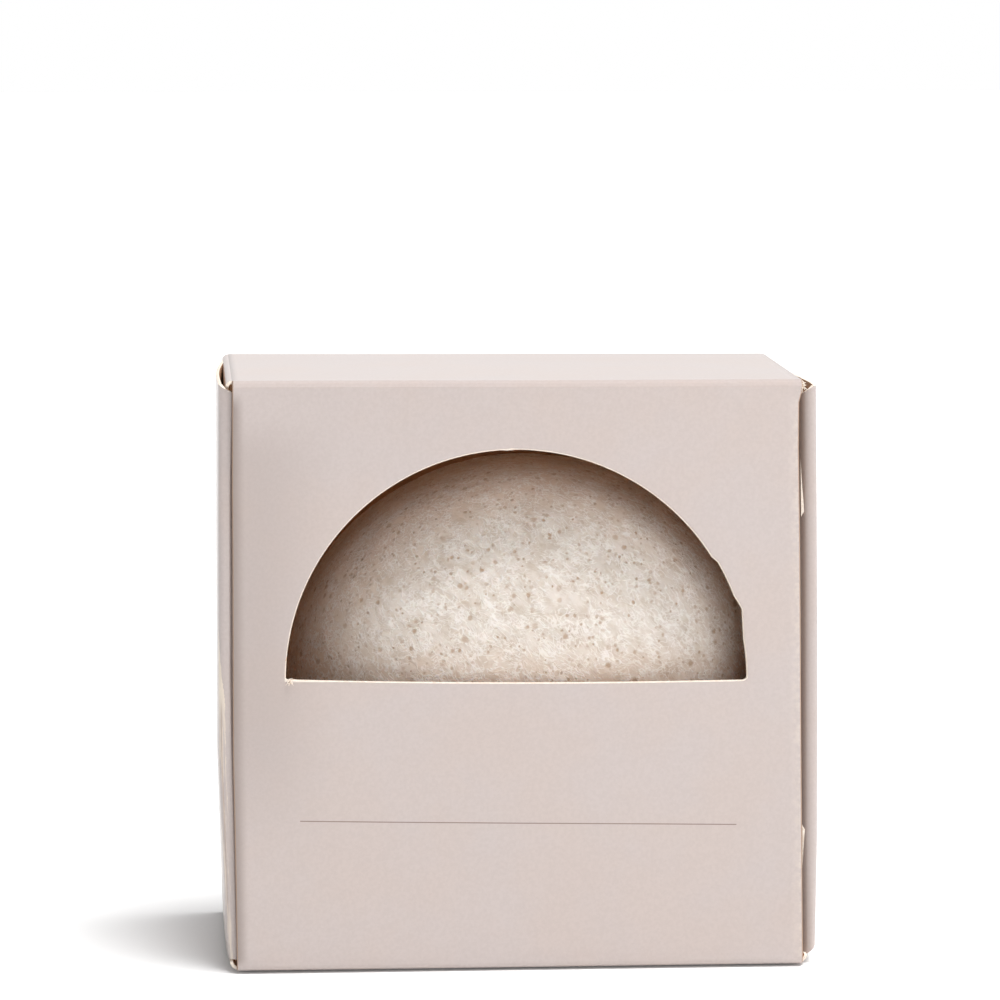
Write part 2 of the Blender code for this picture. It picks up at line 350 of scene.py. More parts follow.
class Value:
    """A shader socket with Python's operators: each one adds a Math node."""

    def __init__(self, shader, socket):
        self.shader = shader
        self.socket = socket

    def math(self, operation, *others):
        sockets = dict(enumerate((self, *others)))
        return self.shader.node("ShaderNodeMath", {"operation": operation}, sockets)

    def swapped(self, operation, other):
        return self.shader.node("ShaderNodeMath", {"operation": operation}, {0: other, 1: self})

    def __add__(self, other):
        return self.math("ADD", other)

    __radd__ = __add__

    def __mul__(self, other):
        return self.math("MULTIPLY", other)

    __rmul__ = __mul__

    def __sub__(self, other):
        return self.math("SUBTRACT", other)

    def __rsub__(self, other):
        return self.swapped("SUBTRACT", other)

    def __truediv__(self, other):
        return self.math("DIVIDE", other)

    def __pow__(self, other):
        return self.math("POWER", other)

    def __abs__(self):
        return self.math("ABSOLUTE")

    def clipped(self):
        """Kept between 0 and 1."""
        return self.math("MAXIMUM", 0).math("MINIMUM", 1)

    def step(self, low, high):
        """0 below low, 1 above high, and smooth between them. Low may be the larger."""
        settings = {"interpolation_type": "SMOOTHSTEP"}
        return self.shader.node("ShaderNodeMapRange", settings, {0: self, 1: low, 2: high})


class Shader:
    """A material under construction. Its maths is written with Value's operators."""

    def __init__(self, name):
        self.material = bpy.data.materials.new(name)
        self.material.use_nodes = True
        self.start(self.material.node_tree)

    def start(self, tree):
        self.tree = tree
        self.tree.nodes.clear()

    @classmethod
    def of(cls, tree):
        """A shader in the node tree of something else, such as the world."""
        shader = cls.__new__(cls)
        shader.start(tree)
        return shader

    def node(self, kind, settings=None, sockets=None, output=0):
        """Adds a node, sets it up, feeds its sockets and returns one of its outputs."""
        made = self.tree.nodes.new(kind)
        for name, value in (settings or {}).items():
            setattr(made, name, value)
        for name, value in (sockets or {}).items():
            if isinstance(value, Value):
                self.tree.links.new(value.socket, made.inputs[name])
            else:
                made.inputs[name].default_value = value
        return None if output is None else Value(self, made.outputs[output])

    def place(self):
        return self.node("ShaderNodeTexCoord", output="Object")

    def flat_place(self):
        """The place on the flat blank, from the piece's own UV map."""
        return self.node("ShaderNodeUVMap", {"uv_map": "blank"})

    def parts(self, vector):
        split = self.node("ShaderNodeSeparateXYZ", sockets={0: vector}).socket.node
        return [Value(self, output) for output in split.outputs]

    def noise(self, vector, scale, detail=3, roughness=0.5, output=0):
        sockets = {"Vector": vector, "Scale": scale, "Detail": detail, "Roughness": roughness}
        return self.node("ShaderNodeTexNoise", sockets=sockets, output=output)

    def cells(self, vector, scale):
        """Distance to the nearest of many scattered points, and three random values of that point."""
        near = self.node("ShaderNodeTexVoronoi", sockets={"Vector": vector, "Scale": scale})
        return near, *self.parts(Value(self, near.socket.node.outputs["Color"]))

    def stretched(self, vector, turn, stretch):
        """The vector turned, and drawn out along one axis, for grain that runs one way."""
        sockets = {"Vector": vector, "Rotation": turn, "Scale": (1, 1, stretch)}
        return self.node("ShaderNodeMapping", {"vector_type": "TEXTURE"}, sockets)

    def mix(self, factor, first, second):
        """A mix of two colours."""
        sockets = {0: factor, 6: first, 7: second}
        return self.node("ShaderNodeMix", {"data_type": "RGBA"}, sockets, output=2)

    def shifted(self, vector, by, amount):
        """The vector, moved by a noise colour round its middle grey."""
        centred = self.node("ShaderNodeVectorMath", {"operation": "SUBTRACT"}, {0: by, 1: (0.5, 0.5, 0.5)})
        sockets = {0: centred, 1: (amount, amount, amount), 2: vector}
        return self.node("ShaderNodeVectorMath", {"operation": "MULTIPLY_ADD"}, sockets)

    def bump(self, height, distance, strength=1.0, normal=None):
        sockets = {"Height": height, "Distance": distance, "Strength": strength}
        if normal:
            sockets["Normal"] = normal
        return self.node("ShaderNodeBump", sockets=sockets)

    def finish(self, sockets):
        """Ends the material in one Principled shader."""
        self.end("ShaderNodeOutputMaterial", self.node("ShaderNodeBsdfPrincipled", sockets=sockets))
        return self.material

    def end(self, kind, surface):
        self.node(kind, sockets={"Surface": surface}, output=None)

    def seen_directly(self):
        """1 for rays from the camera, or by way of gloss or glass, and 0 for light that falls on things."""
        rays = self.node("ShaderNodeLightPath").socket.node.outputs
        bounced = (Value(self, rays[name]) for name in ("Is Glossy Ray", "Is Transmission Ray"))
        return sum(bounced, Value(self, rays["Is Camera Ray"]))


# Finishes of the board


def coated_board(name, extra=None):
    """The printed outer face: pinkish beige under a thin varnish, with a faint mottle and grain."""
    shader = Shader(name)
    place = shader.place()
    mottle = shader.noise(place, 60, detail=4, roughness=0.6)
    grain = shader.noise(place, 2600, detail=2, roughness=0.7)
    colour = shader.mix(mottle.step(0.35, 0.65), COAT_COLOUR, COAT_WARM)
    grey = shader.noise(place, 2200, detail=3, roughness=0.6).step(0.3, 0.7)
    colour = shader.mix(0.18 * grey, colour, COAT_GRAIN)
    height = 0.6 * grain + 0.4 * shader.noise(place, 700, detail=2)
    normal = shader.bump(height, 0.02 * MM, 0.5)
    if extra:
        colour, normal = extra(shader, colour, normal)
    return shader.finish(
        {"Base Color": colour, "Roughness": 0.27 + 0.06 * grain, "Specular IOR Level": 0.8, "Normal": normal}
    )


def sleeve_print(foot, creases):
    """What the sleeve's coat adds: the rule, the window's pressed rim, worn edges, crease lines and painted
    shade.
    """

    def add(shader, colour, normal):
        along, across, _ = shader.parts(shader.flat_place())
        height = along - foot
        off_rule = abs(height - RULE_START[1] - RULE_SLOPE * (across - RULE_START[0]))
        rule = off_rule.step(RULE_HALF + RULE_BLUR, RULE_HALF - RULE_BLUR)
        begun = (across - RULE_START[0]).step(-RULE_BLUR, RULE_BLUR)
        reach = begun * across.step(RULE_END + RULE_BLUR, RULE_END)
        colour = shader.mix(0.85 * rule * reach, colour, RULE_COLOUR)

        rise = height - WINDOW_CENTRE[1]
        run = across - WINDOW_CENTRE[0]
        round_arc = (rise * rise + run * run) ** 0.5 - WINDOW_RADIUS
        under = (-1 * rise).math("MAXIMUM", 0)
        beside = (abs(run) - WINDOW_RADIUS).math("MAXIMUM", 0)
        under_base = (under * under + beside * beside) ** 0.5
        above = rise.step(-0.1 * MM, 0.1 * MM)
        gap = (above * round_arc + (1 - above) * under_base).math("MAXIMUM", 0)
        lip = (gap * (-1 / LIP_WIDTH)).math("EXPONENT")
        normal = shader.bump(lip, LIP_RISE, 1.0, normal)
        colour = shader.mix(0.9 * gap.step(*BARED_RIM), colour, CORE_COLOUR)

        edge = (WALL_HALF - abs(across)).math("MAXIMUM", 0)
        on_front = height.step(0, 2 * MM) * (along - creases[0]).step(0, -3 * MM)
        curl = (1 - edge / CURL_WIDTH).math("MAXIMUM", 0) * on_front
        normal = shader.bump(curl * curl, CURL_RISE, 1.0, normal)
        # Painted shade along the front's left edge, which curls away from the light.
        shade = edge.step(SHADE_WIDTH, 0) * on_front * across.step(0, -1 * MM)
        colour = shader.mix(0.75 * shade, colour, EDGE_SHADE)
        # Painted shade on the strip left of the window, which has bent back away from the light.
        bent_strip_shade = across.step(*BENT_STRIP_SHADE_ACROSS) * height.step(*BENT_STRIP_SHADE_FOOT) * height.step(*BENT_STRIP_SHADE_TOP)
        colour = shader.mix(0.33 * bent_strip_shade, colour, BENT_STRIP_SHADE)
        rub = curl * shader.noise(shader.place(), 1400, detail=3).step(0.35, 0.7)
        colour = shader.mix(0.3 * rub * (across / WALL_HALF).step(-1.0, 1.0), colour, COAT_WORN)

        # Painted shade on the band of the front crease, dimming it where it faces the lamps.
        band = (along - creases[0]).step(-0.1 * MM, 0.15 * MM)
        band = band * (along - creases[-1]).step(0.3 * MM, -0.1 * MM)
        colour = shader.mix(0.15 * band, colour, BAND_SHADE)
        for crease in creases:
            line = abs(along - crease).step(*CREASE_LINE)
            broken = shader.noise(shader.place(), 500, detail=4).step(0.35, 0.6)
            colour = shader.mix(0.3 * line * broken, colour, CREASE_PALE)
        return colour, normal

    return add


def worn_roll(shader, colour, normal):
    """Adds what rubbing bared on the left end's front roll: a cream patch, a thin line and a torn corner."""
    along, across, _ = shader.parts(shader.flat_place())
    ragged = shader.noise(shader.place(), 1100, detail=4, roughness=0.7) - 0.5
    width = ((PATCH_TIP - across) / PATCH_TAPER).clipped() * PATCH_WIDTH + ragged * PATCH_RAGGED
    patch = (width - along).step(-0.03 * MM, 0.05 * MM) * across.step(*PATCH_TOP)
    full = across.step(*PATCH_FULL)
    streak = shader.noise(shader.stretched(shader.place(), (0, 0, 0), 14), 2600, detail=3).step(0.45, 0.6)
    patch = patch * (full + (1 - full) * streak * 0.7)
    colour = shader.mix(0.85 * patch, colour, COAT_WORN)
    line = abs(along - SCUFF_PLACE - ragged * SCUFF_RAGGED).step(*SCUFF_WIDTH)
    line = line * across.step(*SCUFF_TOP) * across.step(*SCUFF_FOOT)
    colour = shader.mix(0.55 * line, colour, SCUFF_TAN)
    torn = across.step(*TORN_HEIGHT) * along.step(*TORN_ALONG)
    return shader.mix(torn, colour, CORE_COLOUR), normal


def shaded_tuck(shader, colour, normal):
    """Paints shade on the right end's front roll, darker toward the slit it tucks into and higher up."""
    along, across, _ = shader.parts(shader.flat_place())
    # Painted shade, stronger higher up.
    tuck_shade = along.step(*TUCK_SHADE_ALONG) * (0.5 + 0.3 * across.step(*TUCK_SHADE_HEIGHT))
    return shader.mix(tuck_shade, colour, TUCK_SHADE_BROWN), normal


def cut_board(name, tan_from):
    """The board's core, bared along every cut: cream, fibrous, and tan past a distance off the middle."""
    shader = Shader(name)
    place = shader.place()
    _, across, _ = shader.parts(shader.flat_place())
    fibre = shader.noise(place, 1800, detail=4, roughness=0.7)
    colour = shader.mix(fibre.step(0.3, 0.7), CORE_COLOUR, CORE_FIBRE)
    colour = shader.mix(abs(across).step(tan_from, tan_from + 0.3 * MM), colour, CORE_TAN)
    normal = shader.bump(fibre, 0.05 * MM, 0.8)
    return shader.finish({"Base Color": colour, "Roughness": 0.85, "Normal": normal})


def inside_board():
    """The unprinted inner face: warm, brownish and slightly fibrous."""
    shader = Shader("board_inside")
    place = shader.place()
    mottle = shader.noise(place, 180, detail=5, roughness=0.65)
    colour = shader.mix(mottle.step(0.3, 0.7), INSIDE_COLOUR, INSIDE_DULL)
    fibre = shader.noise(place, 1500, detail=4, roughness=0.7)
    normal = shader.bump(fibre, 0.03 * MM, 0.6)
    return shader.finish({"Base Color": colour, "Roughness": 0.9, "Normal": normal})


# Folded board


class FoldPath:
    """The outer face of folded board, seen along its folds: straight runs, and bends, to the left below 0."""

    def __init__(self, start, heading):
        self.start = Vector(start)
        self.heading = heading
        self.runs = []
        self.length = 0
        self.known = {}

    def straight(self, length):
        self.runs.append((length, 0))
        self.length += length
        return self.length

    def bend(self, turn, radius):
        length = abs(turn) * radius
        self.runs.append((length, turn))
        self.length += length
        return self.length

    def series(self, steps):
        """Adds pairs of a turn in degrees and a radius in mm, or of no turn and a length."""
        for turn, size in steps:
            if turn:
                self.bend(math.radians(turn), size * MM)
            else:
                self.straight(size * MM)
        return self.length

    def cuts(self):
        """Distances at which the flat blank needs a line, so that its bends come out round."""
        places = []
        begin = 0
        for length, turn in self.runs:
            if turn:
                places += [begin + length * step / FOLD_STEPS for step in range(FOLD_STEPS + 1)]
            begin += length
        return [place for place in places if 0 < place < self.length]

    def at(self, distance):
        """The point at a distance along the outer face, and the direction into the board."""
        key = round(distance, 7)
        if key not in self.known:
            self.known[key] = self.worked_out(distance)
        return self.known[key]

    def worked_out(self, distance):
        place = self.start.copy()
        heading = self.heading
        for length, turn in self.runs:
            step = min(max(distance, 0), length)
            if turn:
                radius = length / turn
                centre = place + radius * inward(heading)
                heading -= step / radius
                place = centre - radius * inward(heading)
            else:
                place += step * Vector((math.cos(heading), math.sin(heading)))
            distance -= length
            if distance <= 0:
                break
        return place, inward(heading)


def inward(heading):
    return Vector((math.sin(heading), -math.cos(heading)))


def between(table, place):
    """The value at a place, from pairs of place and value with the lowest place first."""
    for (low, first), (high, second) in zip(table, table[1:]):
        if place <= high:
            share = max(0, (place - low) / (high - low))
            return first + share * (second - first)
    return table[-1][1]


def whole(mesh):
    return [*mesh.verts, *mesh.edges, *mesh.faces]


def flat_blank(length, low, high, lines):
    """A flat sheet, printed side up. X runs along the folded path, y across it, with a line at each fold."""
    mesh = bmesh.new()
    along = math.ceil(length / CELL)
    across = math.ceil((high - low) / CELL)
    bmesh.ops.create_grid(mesh, x_segments=along, y_segments=across, size=0.5)
    bmesh.ops.scale(mesh, vec=(length, high - low, 1), verts=mesh.verts)
    bmesh.ops.translate(mesh, vec=(length / 2, (low + high) / 2, 0), verts=mesh.verts)
    for line in lines:
        bmesh.ops.bisect_plane(
            mesh, geom=whole(mesh), dist=CUT_REACH, plane_co=(line, 0, 0), plane_no=(1, 0, 0)
        )
    return mesh


def trim(mesh, point, outward, begin=-1, end=1):
    """Cuts off what lies outwards of a line through point, on the stretch of the blank from begin to end."""
    faces = [face for face in mesh.faces if begin < face.calc_center_median().x < end]
    edges = dict.fromkeys(edge for face in faces for edge in face.edges)
    corners = dict.fromkeys(corner for face in faces for corner in face.verts)
    bmesh.ops.bisect_plane(
        mesh,
        geom=[*corners, *edges, *faces],
        dist=CUT_REACH,
        plane_co=(*point, 0),
        plane_no=(*outward, 0),
        clear_outer=True,
    )


def round_corner(mesh, corner, radius, side, begin):
    """Rounds a blank's free corner in short cuts: side is 1 for the high edge, -1 for the low one."""
    centre = Vector(corner) - Vector((radius, side * radius))
    for step in range(1, CORNER_STEPS):
        turn = QUARTER_TURN * step / CORNER_STEPS
        outward = Vector((math.cos(turn), side * math.sin(turn)))
        trim(mesh, centre + radius * outward, outward, begin)


def thicken(mesh):
    bmesh.ops.solidify(mesh, geom=mesh.faces[:], thickness=BOARD)


def mark_faces(mesh, runs_on, clamp=True):
    """Gives the faces their finishes, bares a chamfer along the cuts, and keeps the place on the flat blank.

    Where runs_on says so of a cut, the board runs on into the next piece: it is coated, with no chamfer.
    """
    for face in mesh.faces:
        up = face.normal.z
        face.material_index = 0 if up > 0.5 else 1 if up < -0.5 else 2
        if face.material_index == 2 and runs_on(face.calc_center_median()):
            face.material_index = 0
    rims = [edge for edge in mesh.edges if {face.material_index for face in edge.link_faces} == {0, 2}]
    made = bmesh.ops.bevel(
        mesh,
        geom=rims,
        offset=CHAMFER,
        segments=1,
        profile=0.5,
        affect="EDGES",
        material=2,
        clamp_overlap=clamp,
    )
    for face in made["faces"]:
        face.material_index = 2
    blank = mesh.loops.layers.uv.new("blank")
    for face in mesh.faces:
        face.smooth = True
        for loop in face.loops:
            loop[blank].uv = loop.vert.co.xy
    for edge in mesh.edges:
        edge.smooth = len({face.material_index for face in edge.link_faces}) == 1


def fold(mesh, path_at, to_frame):
    """Moves a thick blank from the flat on to its folded place."""
    for corner in mesh.verts:
        along, across, lift = corner.co
        point, inside = path_at(along, across)
        corner.co = settle(to_frame(point - lift * inside, across))
    bmesh.ops.recalc_face_normals(mesh, faces=mesh.faces)


def settle(place):
    """The lean of the handled carton and the ripple of its walls, shared by all pieces so that they meet."""
    across = place.x / (40 * MM)
    up = place.z / (83.5 * MM)
    back = (place.y + 22.5 * MM) / (45 * MM)
    by_across, by_height, by_both = LEAN_SIDEWAYS
    lean = Vector((by_across * across + by_height * up + by_both * across * up, 0, 0))
    alone, with_across, with_depth, with_both = LEAN_UP
    lean.z = up * (alone + with_across * across + with_depth * back + with_both * back * across)
    return place + (lean + RIPPLE * noise.noise_vector(place * RIPPLE_SCALE)) * MM


def make_piece(name, mesh, finishes, body, nodes):
    """An object from a finished mesh. It rides a body given by name, and otherwise stays where it is made."""
    data = bpy.data.meshes.new(name)
    mesh.to_mesh(data)
    mesh.free()
    for finish in finishes:
        data.materials.append(finish)
    piece = bpy.data.objects.new(name, data)
    bpy.context.scene.collection.objects.link(piece)
    if isinstance(body, str):
        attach(piece, body)
    else:
        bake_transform(piece)
    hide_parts(*nodes)
    return piece


def window_cutter(foot):
    """A half-round prism, with the wear of its arc and the sag of its base line."""
    mesh = bmesh.new()
    bmesh.ops.create_circle(mesh, cap_ends=True, segments=2 * WINDOW_STEPS, radius=WINDOW_RADIUS)
    bmesh.ops.bisect_plane(
        mesh, geom=whole(mesh), dist=CUT_REACH, plane_co=(0, 0, 0), plane_no=(1, 0, 0), clear_inner=True
    )
    low = [edge for edge in mesh.edges if all(abs(corner.co.x) < 1e-6 for corner in edge.verts)]
    bmesh.ops.subdivide_edges(mesh, edges=low, cuts=BASE_STEPS - 1)
    for corner in mesh.verts:
        if corner.co.x < 1e-6:
            run = (corner.co.y + WINDOW_CENTRE[0]) / (32 * MM)
            level, slope, sag = WINDOW_BASE
            corner.co.x = (level + slope * run + sag * run**2) * MM - WINDOW_CENTRE[1]
        else:
            turn = math.degrees(math.atan2(corner.co.x, corner.co.y))
            corner.co *= 1 + between(WINDOW_WEAR, turn) * MM / WINDOW_RADIUS
    for side, radius in ((-1, LEFT_CORNER), (1, RIGHT_CORNER)):
        end = max(mesh.verts, key=lambda corner: side * corner.co.y - abs(corner.co.x))
        bmesh.ops.bevel(
            mesh, geom=[end], offset=radius, segments=4, profile=0.5, affect="VERTICES", material=-1
        )
    bmesh.ops.translate(mesh, verts=mesh.verts, vec=(foot + WINDOW_CENTRE[1], WINDOW_CENTRE[0], BOARD))
    made = bmesh.ops.extrude_face_region(mesh, geom=mesh.faces[:])["geom"]
    down = [item for item in made if isinstance(item, bmesh.types.BMVert)]
    bmesh.ops.translate(mesh, verts=down, vec=(0, 0, -3 * BOARD))
    bmesh.ops.recalc_face_normals(mesh, faces=mesh.faces)
    return mesh


def add_fibres(mesh, place, count, thickness):
    """Torn white fibres that stand out round a place on the front."""
    for _ in range(count):
        length = (0.5 + 0.5 * noise.random()) * MM
        made = bmesh.ops.create_cone(
            mesh, cap_ends=True, segments=5, radius1=thickness / 2, radius2=0.02 * MM, depth=length
        )
        turn = math.radians(-170 + 200 * noise.random())
        lift = math.radians(20 + 30 * noise.random())
        way = Vector((math.cos(turn) * math.cos(lift), -math.sin(lift), math.sin(turn) * math.cos(lift)))
        spread = Vector((noise.random(), 0, noise.random())) - Vector((0.5, 0, 0.5))
        start = Vector(place) + 0.5 * MM * spread
        spin = way.to_track_quat("Z", "Y").to_matrix()
        bmesh.ops.rotate(mesh, verts=made["verts"], cent=(0, 0, 0), matrix=spin)
        bmesh.ops.translate(mesh, verts=made["verts"], vec=start + way * length / 2)
        for corner in made["verts"]:
            for face in corner.link_faces:
                face.material_index = 2
                face.smooth = True


def cut_out(mesh, cutter):
    """Cuts one closed mesh out of another, and returns the result as a new mesh."""
    pair = []
    for name, source in (("blank", mesh), ("cutter", cutter)):
        data = bpy.data.meshes.new(name)
        source.to_mesh(data)
        source.free()
        pair.append(bpy.data.objects.new(name, data))
        bpy.context.scene.collection.objects.link(pair[-1])
    blank, tool = pair
    cut = blank.modifiers.new("cut", "BOOLEAN")
    cut.operation = "DIFFERENCE"
    cut.solver = "EXACT"
    cut.object = tool
    bpy.context.view_layer.update()
    cut_blank = blank.evaluated_get(bpy.context.evaluated_depsgraph_get())
    made = bmesh.new()
    made.from_mesh(cut_blank.to_mesh())
    cut_blank.to_mesh_clear()
    for item in pair:
        bpy.data.meshes.remove(item.data)
    return made


def build_sleeve(inside):
    """Bottom, front, top, back and glue flap, from one blank with a window."""
    crease = FoldPath((0, 0), QUARTER_TURN)
    crease.series(FRONT_CREASE)
    over, _ = crease.at(crease.length)
    path = FoldPath((BOTTOM_END, 0), 2 * QUARTER_TURN)
    path.straight(BOTTOM_END - FRONT - FOLD_RADIUS)
    front_start = path.bend(QUARTER_TURN, FOLD_RADIUS)
    crease_start = path.straight(HEIGHT - FOLD_RADIUS - over.y)
    crease_end = path.series(FRONT_CREASE)
    top_end = path.straight(BACK - FRONT - over.x - FOLD_RADIUS)
    path.bend(QUARTER_TURN, FOLD_RADIUS)
    back_end = path.straight(HEIGHT - 2 * FOLD_RADIUS - GLUE_UNDERSIDE)
    glue_start = path.bend(QUARTER_TURN, FOLD_RADIUS)
    path.straight(BACK - FOLD_RADIUS - GLUE_END)
    half_fold = QUARTER_TURN * FOLD_RADIUS / 2
    back_begin = top_end + half_fold
    back_finish = back_end + half_fold

    mesh = flat_blank(path.length, -BACK_HALF, BACK_HALF, [*path.cuts(), back_begin, back_finish])
    for side in (-1, 1):
        trim(mesh, (0, side * WALL_HALF), (0, side), end=back_begin)
        trim(mesh, (0, side * GLUE_HALF), (0, side), begin=back_finish)
        slope = Vector((GLUE_SLOPE[0], side * GLUE_SLOPE[1])).normalized()
        trim(mesh, (glue_start, side * GLUE_HALF), slope, begin=glue_start)
    thicken(mesh)
    foot = front_start - FOLD_RADIUS
    mesh = cut_out(mesh, window_cutter(foot))
    round_window = [corner for corner in mesh.verts if WELD_LOW < corner.co.x - foot < WELD_HIGH]
    bmesh.ops.remove_doubles(mesh, verts=round_window, dist=WELD_REACH)

    def runs_on(place):
        """Where the dust flaps grow out of the bottom's and the top's side edges."""
        on_top = crease_end + FLAP_ROOT - over.x < place.x < top_end + FOLD_RADIUS - BACK + FLAP_BACK
        on_bottom = BOTTOM_END - FLAP_BACK < place.x < BOTTOM_END - FRONT - FLAP_ROOT
        return abs(place.y) > WALL_HALF - NEAR and (on_top or on_bottom)

    mark_faces(mesh, runs_on, clamp=False)

    def to_frame(point, across):
        depth = point.x
        height = point.y
        if height < BOARD + NEAR:
            sag = max(0, 1 - (across / SAG_HALF_WIDTH) ** 2) * max(0, 1 - (depth / SAG_HALF_DEPTH) ** 2)
            height -= BOTTOM_SAG * sag**0.5
        if depth < FRONT + FRONT_LAYER:
            table = LEFT_EDGE if across < 0 else RIGHT_EDGE
            share = min(1, max(0, (abs(across) - EDGE_GIVE[0]) / EDGE_GIVE[1]))
            strip = min(1, max(0, (-across - STRIP_WIDTH) / STRIP_WIDTH))
            depth += STRIP_SET_BACK * strip**2 * between(STRIP_BOW, height / MM)
            across *= 1 + share * (between(table, height / MM) * MM / WALL_HALF - 1)
        return Vector((across, depth, height))

    fold(mesh, lambda along, across: path.at(along), to_frame)
    window_corner = Vector((WINDOW_CENTRE[0] - WINDOW_RADIUS + 0.5 * MM, FRONT, WINDOW_CENTRE[1]))
    add_fibres(mesh, settle(window_corner), *WINDOW_FIBRES)
    upper_corner = Vector((WALL_HALF + 0.35 * MM, FRONT + 0.5 * MM, HEIGHT - 0.75 * MM))
    add_fibres(mesh, settle(upper_corner), *CORNER_FIBRES)
    creases = (crease_start, (crease_start + crease_end) / 2, crease_end)
    coat = coated_board("sleeve_coat", sleeve_print(foot, creases))
    core = cut_board("sleeve_core", WALL_HALF - 0.5 * MM)
    nodes = ("front_panel", "top_panel", "back_panel", "bottom_panel", "glue_flap")
    make_piece("carton_sleeve", mesh, (coat, inside, core), "carton", nodes)


def build_end(side_name, shape, coat, inside, core):
    """A closure and its tuck tab, from two blanks that meet where the front fold begins."""
    side = shape["side"]
    front = shape["front"] * MM
    chord = Vector((shape["spread"] * MM, BACK - FOLD_RADIUS - front))
    lean = math.atan2(chord.x, chord.y)
    half_bow = 2 * math.atan(2 * shape["bow"] * MM / chord.length)
    bow_radius = chord.length / (2 * math.sin(half_bow))
    roll = shape["roll"] * MM

    path = FoldPath((BACK_HALF, BACK), 0)
    path.straight(CLOSURE_LEAD)
    path.bend(QUARTER_TURN - lean - half_bow, FOLD_RADIUS)
    closure_end = path.bend(2 * half_bow, bow_radius)
    strip_start = path.bend(QUARTER_TURN + lean - half_bow - math.radians(shape["short"]), roll)
    strip_end = strip_start + shape["curl"][0][1] * MM
    tab_start = path.series(shape["curl"])
    path.straight(path.at(tab_start)[0].x - TAB_END)
    walk = (strip_start * step / OUTLINE_STEPS for step in range(OUTLINE_STEPS + 1))
    outer = max(path.at(distance)[0].x for distance in walk)
    inner = path.at(strip_end)[0].x

    def path_at(along, across):
        point, inside_way = path.at(along)
        share = min(1, max(0, (BACK - point.y) / (BACK - front))) ** shape["pinch"]
        outer_shift = between(shape["outline"], across / MM) * MM - outer
        inner_shift = between(shape["strip"], across / MM) * MM - inner
        if point.x > inner:
            outward = min(1, (point.x - inner) / (outer - inner))
            shift = inner_shift + outward * (outer_shift - inner_shift)
        else:
            shift = inner_shift * max(0, 1 - (inner - point.x) / STRIP_FADE)
        hug = max(0, (point.y + HUG_START) / HUG_LENGTH) ** 1.5 * max(0, 1 - (HEIGHT - across) / HUG_TOP)
        return point + Vector((share * shift - hug * shape["hug"] * MM, 0)), inside_way

    def to_frame(point, across):
        return Vector((side * point.x, point.y, across))

    low = CLOSURE_SETBACK
    high = HEIGHT - shape["set_down"] * MM
    top_drop = shape["top_drop"] * MM
    foot_drop = shape["foot_drop"] * MM
    closure = flat_blank(closure_end, low, high, path.cuts())
    shoulder = closure_end - SHOULDER_LENGTH
    trim(closure, (shoulder, high), Vector((top_drop, SHOULDER_LENGTH)).normalized(), begin=shoulder - CELL)
    trim(closure, (shoulder, low), Vector((foot_drop, -SHOULDER_LENGTH)).normalized(), begin=shoulder - CELL)
    if shape["back_drop"]:
        back_slope = Vector((-shape["back_drop"] * MM, closure_end)).normalized()
        trim(closure, (closure_end, high), back_slope, begin=0)
    thicken(closure)
    mark_faces(closure, lambda place: place.x > closure_end - NEAR)
    fold(closure, path_at, to_frame)
    name = f"{side_name}_closure"
    fold_start = (side * (BACK_HALF + CLOSURE_LEAD), BACK, HEIGHT / 2)
    fold_finish = (side * (BACK_HALF + FOLD_RADIUS), BACK - FOLD_RADIUS, HEIGHT / 2)
    make_piece(
        f"{side_name}_closure_board",
        closure,
        (coat, inside, core),
        ("carton", name, fold_start, fold_finish),
        (name,),
    )

    low += foot_drop - shape["tab_foot"] * MM
    high -= top_drop
    lines = [line - closure_end for line in path.cuts() if line > closure_end]
    tab_length = path.length - closure_end
    tab = flat_blank(tab_length, low, high, lines)
    flat_start = tab_start - closure_end
    slope = Vector((TAB_TAPER, tab_length - flat_start)).normalized()
    trim(tab, (flat_start, high), slope, begin=flat_start)
    trim(tab, (flat_start, low), (slope.x, -slope.y), begin=flat_start)
    if shape["tab_foot"]:
        foot_run = strip_start + FOOT_SLOPE_LEAD - closure_end
        foot_slope = Vector((-shape["tab_foot"] * MM, foot_run)).normalized()
        trim(tab, (0, low + shape["tab_foot"] * MM), (foot_slope.x, -foot_slope.y), begin=-1)
    slope_start, fall = shape["tab_slope"]
    trim(tab, (slope_start * MM, high), Vector((fall, 1)).normalized(), begin=0)
    round_corner(tab, (tab_length, high - TAB_TAPER), TAB_CORNER, 1, flat_start)
    round_corner(tab, (tab_length, low + TAB_TAPER), TAB_CORNER, -1, flat_start)
    thicken(tab)
    mark_faces(tab, lambda place: place.x < NEAR)
    fold(tab, lambda along, across: path_at(along + closure_end, across), to_frame)
    point, _ = path.at(closure_end)
    tab_fold_start = (side * point.x, point.y, HEIGHT / 2)
    tab_fold_finish = (side * (point.x - roll), point.y - roll, HEIGHT / 2)
    make_piece(
        f"{side_name}_tab_board",
        tab,
        (worn_and_shaded_coat(side_name), inside, core),
        (name, f"{side_name}_tuck_tab", tab_fold_start, tab_fold_finish),
        (f"{side_name}_tuck_tab",),
    )


# The left roll's coat has real wear, and the right roll's has painted shade.
def worn_and_shaded_coat(side_name):
    return coated_board(f"{side_name}_tab_coat", worn_roll if side_name == "left" else shaded_tuck)


